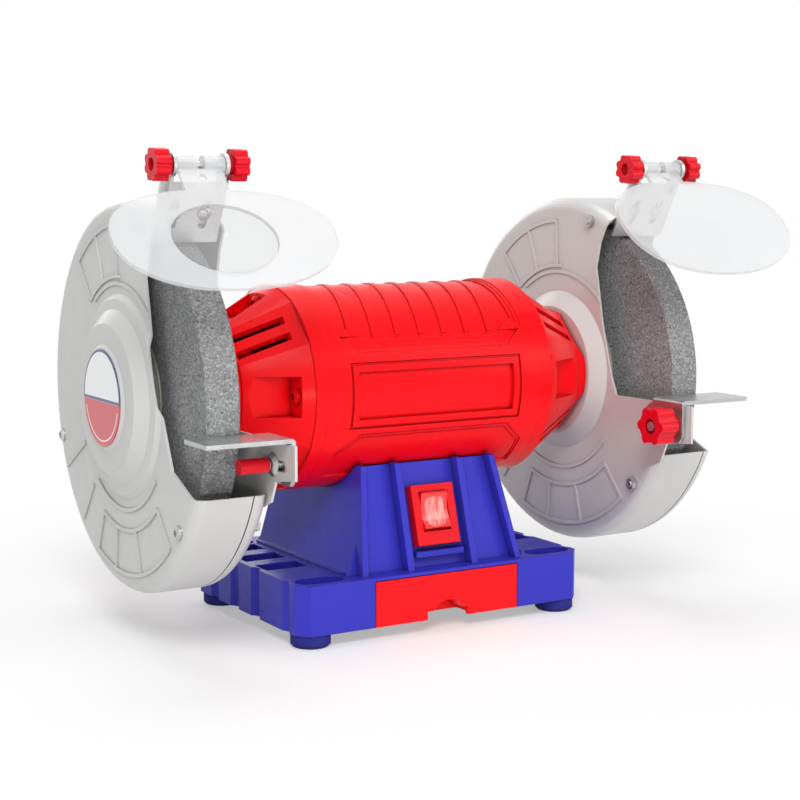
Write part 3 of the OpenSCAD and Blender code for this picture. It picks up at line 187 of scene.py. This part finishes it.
class Paint:
    """A node material with a Principled shader, built up by the calls below. Lengths are in metres."""

    def __init__(self, name, color, roughness, metallic=0.0, edge=0.0):
        self.mat = bpy.data.materials.new(name)
        self.mat.use_nodes = True
        self.nodes, self.links = self.mat.node_tree.nodes, self.mat.node_tree.links
        self.shader = self.nodes["Principled BSDF"]
        self.shader.inputs["Metallic"].default_value = metallic
        self.shader.inputs["Roughness"].default_value = roughness
        self.shader.inputs["Base Color"].default_value = (*color, 1)
        self.where = self.nodes.new("ShaderNodeTexCoord").outputs["Object"]
        self.color = None
        self.plain = color
        self.normal = self.soft_edges(edge) if edge else None

    def soft_edges(self, radius):
        """Rounds the look of the sharp edges, as paint, moulding or deburring does."""
        bevel = self.nodes.new("ShaderNodeBevel")
        bevel.samples = BEVEL_SAMPLES
        bevel.inputs["Radius"].default_value = radius
        self.links.new(bevel.outputs[0], self.shader.inputs["Normal"])
        return bevel.outputs[0]

    def painted_shade_factor(self, reach, depth):
        """A factor for painted shade: it rises to depth in corners, grooves and slots, where less light
        reaches.
        """
        near = self.nodes.new("ShaderNodeAmbientOcclusion")
        near.samples = PAINTED_SHADE_SAMPLES
        near.inputs["Distance"].default_value = reach
        return self.ramp(near.outputs["AO"], PAINTED_SHADE_OPEN, PAINTED_SHADE_SHUT, 0, depth)

    def set(self, **values):
        for name, value in values.items():
            self.shader.inputs[name.replace("_", " ")].default_value = value
        return self

    def noise(self, size, detail=2.0, stretch=None):
        """Noise whose grains are about size metres across, stretched along an axis if asked."""
        tex = self.nodes.new("ShaderNodeTexNoise")
        tex.inputs["Scale"].default_value = 1 / size
        tex.inputs["Detail"].default_value = detail
        source = self.where
        if stretch:
            scale = self.nodes.new("ShaderNodeMapping")
            scale.inputs["Scale"].default_value = stretch
            self.links.new(source, scale.inputs["Vector"])
            source = scale.outputs[0]
        self.links.new(source, tex.inputs["Vector"])
        return tex.outputs["Fac"]

    def ramp(self, value, low, high, to_low=0.0, to_high=1.0):
        node = self.nodes.new("ShaderNodeMapRange")
        node.inputs["From Min"].default_value = low
        node.inputs["From Max"].default_value = high
        node.inputs["To Min"].default_value = to_low
        node.inputs["To Max"].default_value = to_high
        self.links.new(value, node.inputs["Value"])
        return node.outputs[0]

    def tint(self, factor, color):
        """Lays a colour over what is there, by a factor from 0 to 1."""
        mix = self.nodes.new("ShaderNodeMix")
        mix.data_type = "RGBA"
        self.links.new(factor, mix.inputs["Factor"])
        if self.color:
            self.links.new(self.color, mix.inputs[6])
        else:
            mix.inputs[6].default_value = (*self.plain, 1)
        mix.inputs[7].default_value = (*color, 1)
        self.color = mix.outputs[2]
        self.links.new(self.color, self.shader.inputs["Base Color"])
        return self

    def bump(self, height, depth, strength=1.0):
        node = self.nodes.new("ShaderNodeBump")
        node.inputs["Distance"].default_value = depth
        node.inputs["Strength"].default_value = strength
        self.links.new(height, node.inputs["Height"])
        if self.normal:
            self.links.new(self.normal, node.inputs["Normal"])
        self.normal = node.outputs[0]
        self.links.new(self.normal, self.shader.inputs["Normal"])
        return self

    def rough(self, factor):
        self.links.new(factor, self.shader.inputs["Roughness"])
        return self

    def split(self):
        node = self.nodes.new("ShaderNodeSeparateXYZ")
        self.links.new(self.where, node.inputs[0])
        return node.outputs

    def math(self, operation, a, b=None):
        node = self.nodes.new("ShaderNodeMath")
        node.operation = operation
        for socket, value in zip(node.inputs, (a, b)):
            if value is None:
                continue
            if isinstance(value, (int, float)):
                socket.default_value = value
            else:
                self.links.new(value, socket)
        return node.outputs[0]


def shade(color, k):
    return tuple(min(1.0, c * k) for c in color)


def painted(name, color, roughness, peel=0.00002):
    """Powder coat: slight orange peel, faint cloudiness and uneven gloss."""
    p = Paint(name, color, roughness, edge=0.7 * MM)
    p.tint(p.ramp(p.noise(0.06, 1), 0.35, 0.75), shade(color, 0.95))
    # Painted shade: the colour darkens in corners, grooves and slots.
    p.tint(p.painted_shade_factor(4 * MM, 0.85), shade(color, 0.3))
    p.rough(p.ramp(p.noise(0.012, 2), 0.3, 0.7, roughness - 0.05, roughness + 0.07))
    p.bump(p.noise(0.0016, 3), peel, 0.4)
    return p.set(Specular_IOR_Level=0.12, Coat_Weight=0.06, Coat_Roughness=0.12).mat


def moulded(name, color, roughness, grain=0.00003, edge=0.6 * MM):
    """Moulded plastic: fine spark grain and a faint cloudiness."""
    p = Paint(name, color, roughness, edge=edge)
    p.tint(p.ramp(p.noise(0.04, 2), 0.35, 0.75), shade(color, 0.94))
    # Painted shade: the colour darkens in corners, grooves and slots.
    p.tint(p.painted_shade_factor(5 * MM, 0.8), shade(color, 0.35))
    p.rough(p.ramp(p.noise(0.006, 2), 0.3, 0.7, roughness - 0.06, roughness + 0.06))
    p.bump(p.noise(0.0006, 2), grain, 0.5)
    return p.set(Specular_IOR_Level=0.2).mat


def metal(name, color, roughness, brush=(1, 12, 12), depth=0.00002, metallic=0.9):
    """Plated or ground steel with a fine grain drawn out along one axis."""
    p = Paint(name, color, roughness, metallic, edge=0.25 * MM)
    p.tint(p.ramp(p.noise(0.015, 4), 0.35, 0.7), shade(color, 0.8))
    p.rough(p.ramp(p.noise(0.004, 3, brush), 0.3, 0.7, roughness - 0.08, roughness + 0.1))
    p.bump(p.noise(0.0012, 2, brush), depth, 0.5)
    return p.mat


def sheet_steel(name, color, roughness):
    """Pressed sheet under a satin grey lacquer: an even tone, with the faint flow of the sheet under it."""
    p = Paint(name, color, roughness, 0.2, edge=0.5 * MM)
    p.tint(p.ramp(p.noise(0.05, 2), 0.35, 0.75), shade(color, 0.95))
    # Painted shade: the colour darkens in corners, grooves and slots.
    p.tint(p.painted_shade_factor(3 * MM, 0.8), shade(color, 0.45))
    p.tint(p.ramp(p.noise(0.0008, 2), 0.55, 0.8, 0, 0.5), shade(color, 0.9))
    p.rough(p.ramp(p.noise(0.01, 2), 0.3, 0.7, roughness - 0.04, roughness + 0.06))
    p.bump(p.noise(0.0009, 2), 0.00001, 0.4)
    return p.set(Specular_IOR_Level=0.4).mat


def abrasive(name):
    """Vitrified grain: light and dark grits under a millimetre across, with open pores."""
    p = Paint(name, (0.23, 0.235, 0.237), 0.92)
    grit = p.nodes.new("ShaderNodeTexVoronoi")
    grit.inputs["Scale"].default_value = 1 / GRIT
    p.links.new(p.where, grit.inputs["Vector"])
    shades = p.nodes.new("ShaderNodeSeparateColor")
    p.links.new(grit.outputs["Color"], shades.inputs[0])
    p.tint(p.ramp(shades.outputs[0], 0.5, 0.95), (0.38, 0.385, 0.39))
    p.tint(p.ramp(shades.outputs[1], 0.72, 1.0, 0, 0.8), (0.09, 0.09, 0.092))
    p.tint(p.ramp(p.noise(0.02, 3), 0.45, 0.75, 0, 0.25), (0.12, 0.12, 0.12))
    p.bump(grit.outputs["Distance"], 0.0004, 0.8)
    p.bump(p.noise(0.0022, 3), 0.0004, 0.6)
    return p.set(Specular_IOR_Level=0.25).mat


def clear(name, color, roughness, alpha):
    p = Paint(name, color, roughness)
    p.tint(p.ramp(p.noise(0.04, 2), 0.4, 0.7), shade(color, 0.96))
    p.bump(p.noise(0.03, 1), 0.0001, 0.2)
    return p.set(Alpha=alpha, IOR=1.49).mat


def rocker_plastic(name):
    """Clear red moulding with a painted highlight: a paler patch with streaks in the middle."""
    red, highlight_pale = (0.85, 0.012, 0.012), (1.0, 0.46, 0.40)
    p = Paint(name, red, 0.12, edge=0.6 * MM)
    low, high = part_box("switch_rocker")
    centre = (low + high) / 2
    x, y, z = p.split()
    dx = p.math("DIVIDE", p.math("SUBTRACT", x, centre.x), (high.x - low.x) * 0.36)
    dz = p.math("DIVIDE", p.math("SUBTRACT", z, centre.z), (high.z - low.z) * 0.36)
    across, up = (p.math("POWER", p.math("ABSOLUTE", d), 4) for d in (dx, dz))
    reach = p.math("ADD", across, up)
    highlight_patch = p.ramp(reach, 1.25, 0.7)
    highlight_streaks = p.ramp(p.noise(0.006, 2, (3, 1, 0.6)), 0.35, 0.65, 0.15, 0.8)
    # Painted highlight: a paler streaked patch laid into the base colour in the middle of the rocker.
    p.tint(p.math("MULTIPLY", highlight_patch, highlight_streaks), highlight_pale)
    p.bump(p.noise(0.0006, 2), 0.00001, 0.3)
    return p.set(Coat_Weight=0.8, Coat_Roughness=0.05).mat


def label_film(name):
    """Round label: white above, red below, a navy rim and a navy line between. It carries no text."""
    navy, red, white = (0.01, 0.03, 0.16), (0.62, 0.01, 0.03), (0.86, 0.87, 0.88)
    p = Paint(name, white, 0.3)
    low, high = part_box("left_label")
    centre, radius = (low + high) / 2, (high.z - low.z) / 2
    x, y, z = p.split()
    dy, dz = p.math("SUBTRACT", y, centre.y), p.math("SUBTRACT", z, centre.z)
    reach = p.math("SQRT", p.math("ADD", p.math("MULTIPLY", dy, dy), p.math("MULTIPLY", dz, dz)))
    split_z = -2 * MM
    p.tint(p.math("LESS_THAN", dz, split_z), red)
    arc_out = p.math("LESS_THAN", reach, radius - 2.6 * MM)
    arc_in = p.math("GREATER_THAN", reach, radius - 3.4 * MM)
    low_half = p.math("LESS_THAN", dz, -6 * MM)
    p.tint(p.math("MULTIPLY", p.math("MULTIPLY", arc_out, arc_in), low_half), white)
    p.tint(p.math("LESS_THAN", p.math("ABSOLUTE", p.math("ADD", dz, 1 * MM)), 0.9 * MM), navy)
    rim = p.math("GREATER_THAN", reach, radius - 1.2 * MM)
    p.tint(p.math("MULTIPLY", rim, p.math("GREATER_THAN", dz, split_z)), navy)
    p.bump(p.noise(0.004, 2), 0.00003, 0.3)
    return p.set(Coat_Weight=0.5, Coat_Roughness=0.1).mat


RED = (0.88, 0.002, 0.006)
BLUE = (0.034, 0.034, 0.44)
MATERIALS = {
    "red_paint": painted("red_paint", RED, 0.3),
    "painted_screw": painted("painted_screw", shade(RED, 0.8), 0.35),
    "blue_plastic": moulded("blue_plastic", BLUE, 0.36, edge=0.9 * MM),
    "red_plastic": moulded("red_plastic", RED, 0.36),
    "switch_plastic": moulded("switch_plastic", (0.72, 0.004, 0.01), 0.28),
    "rocker_plastic": rocker_plastic("rocker_plastic"),
    "knob_plastic": moulded("knob_plastic", (0.70, 0.004, 0.016), 0.3),
    "black_plastic": moulded("black_plastic", (0.012, 0.012, 0.014), 0.45),
    "cream_plastic": moulded("cream_plastic", (0.7, 0.66, 0.55), 0.45),
    "foot_rubber": moulded("foot_rubber", (0.02, 0.02, 0.20), 0.7, 0.0001),
    "guard_steel": sheet_steel("guard_steel", (0.58, 0.58, 0.57), 0.36),
    "arrester_steel": metal("arrester_steel", (0.66, 0.66, 0.65), 0.33),
    "rest_steel": metal("rest_steel", (0.52, 0.53, 0.53), 0.32),
    "zinc_steel": metal("zinc_steel", (0.45, 0.46, 0.47), 0.35),
    "screw_steel": metal("screw_steel", (0.55, 0.55, 0.55), 0.28, (6, 6, 6)),
    "bearing_steel": metal("bearing_steel", (0.6, 0.6, 0.6), 0.2, (12, 1, 1)),
    "core_steel": metal("core_steel", (0.2, 0.21, 0.22), 0.45, (40, 1, 1), 0.0001),
    "can_aluminium": metal("can_aluminium", (0.62, 0.63, 0.64), 0.35, (1, 8, 8)),
    "winding_copper": metal("winding_copper", (0.42, 0.14, 0.05), 0.35, (1, 6, 1), 0.0002),
    "blotter_paper": moulded("blotter_paper", (0.6, 0.56, 0.44), 0.85, 0.0001),
    "abrasive": abrasive("abrasive"),
    "label_film": label_film("label_film"),
    "shield_plastic": clear("shield_plastic", (0.70, 0.71, 0.72), 0.2, 0.5),
    "lens_plastic": clear("lens_plastic", (0.50, 0.51, 0.52), 0.06, 0.25),
}


def dress_nodes():
    """Gives every CAD node the material of its slot."""
    slots = {row["node"]: row["material_slot"] for row in frame["record"]["subparts"]}
    for name, obj in NODES.items():
        obj.data.materials.clear()
        obj.data.materials.append(MATERIALS[slots[name]])


dress_nodes()
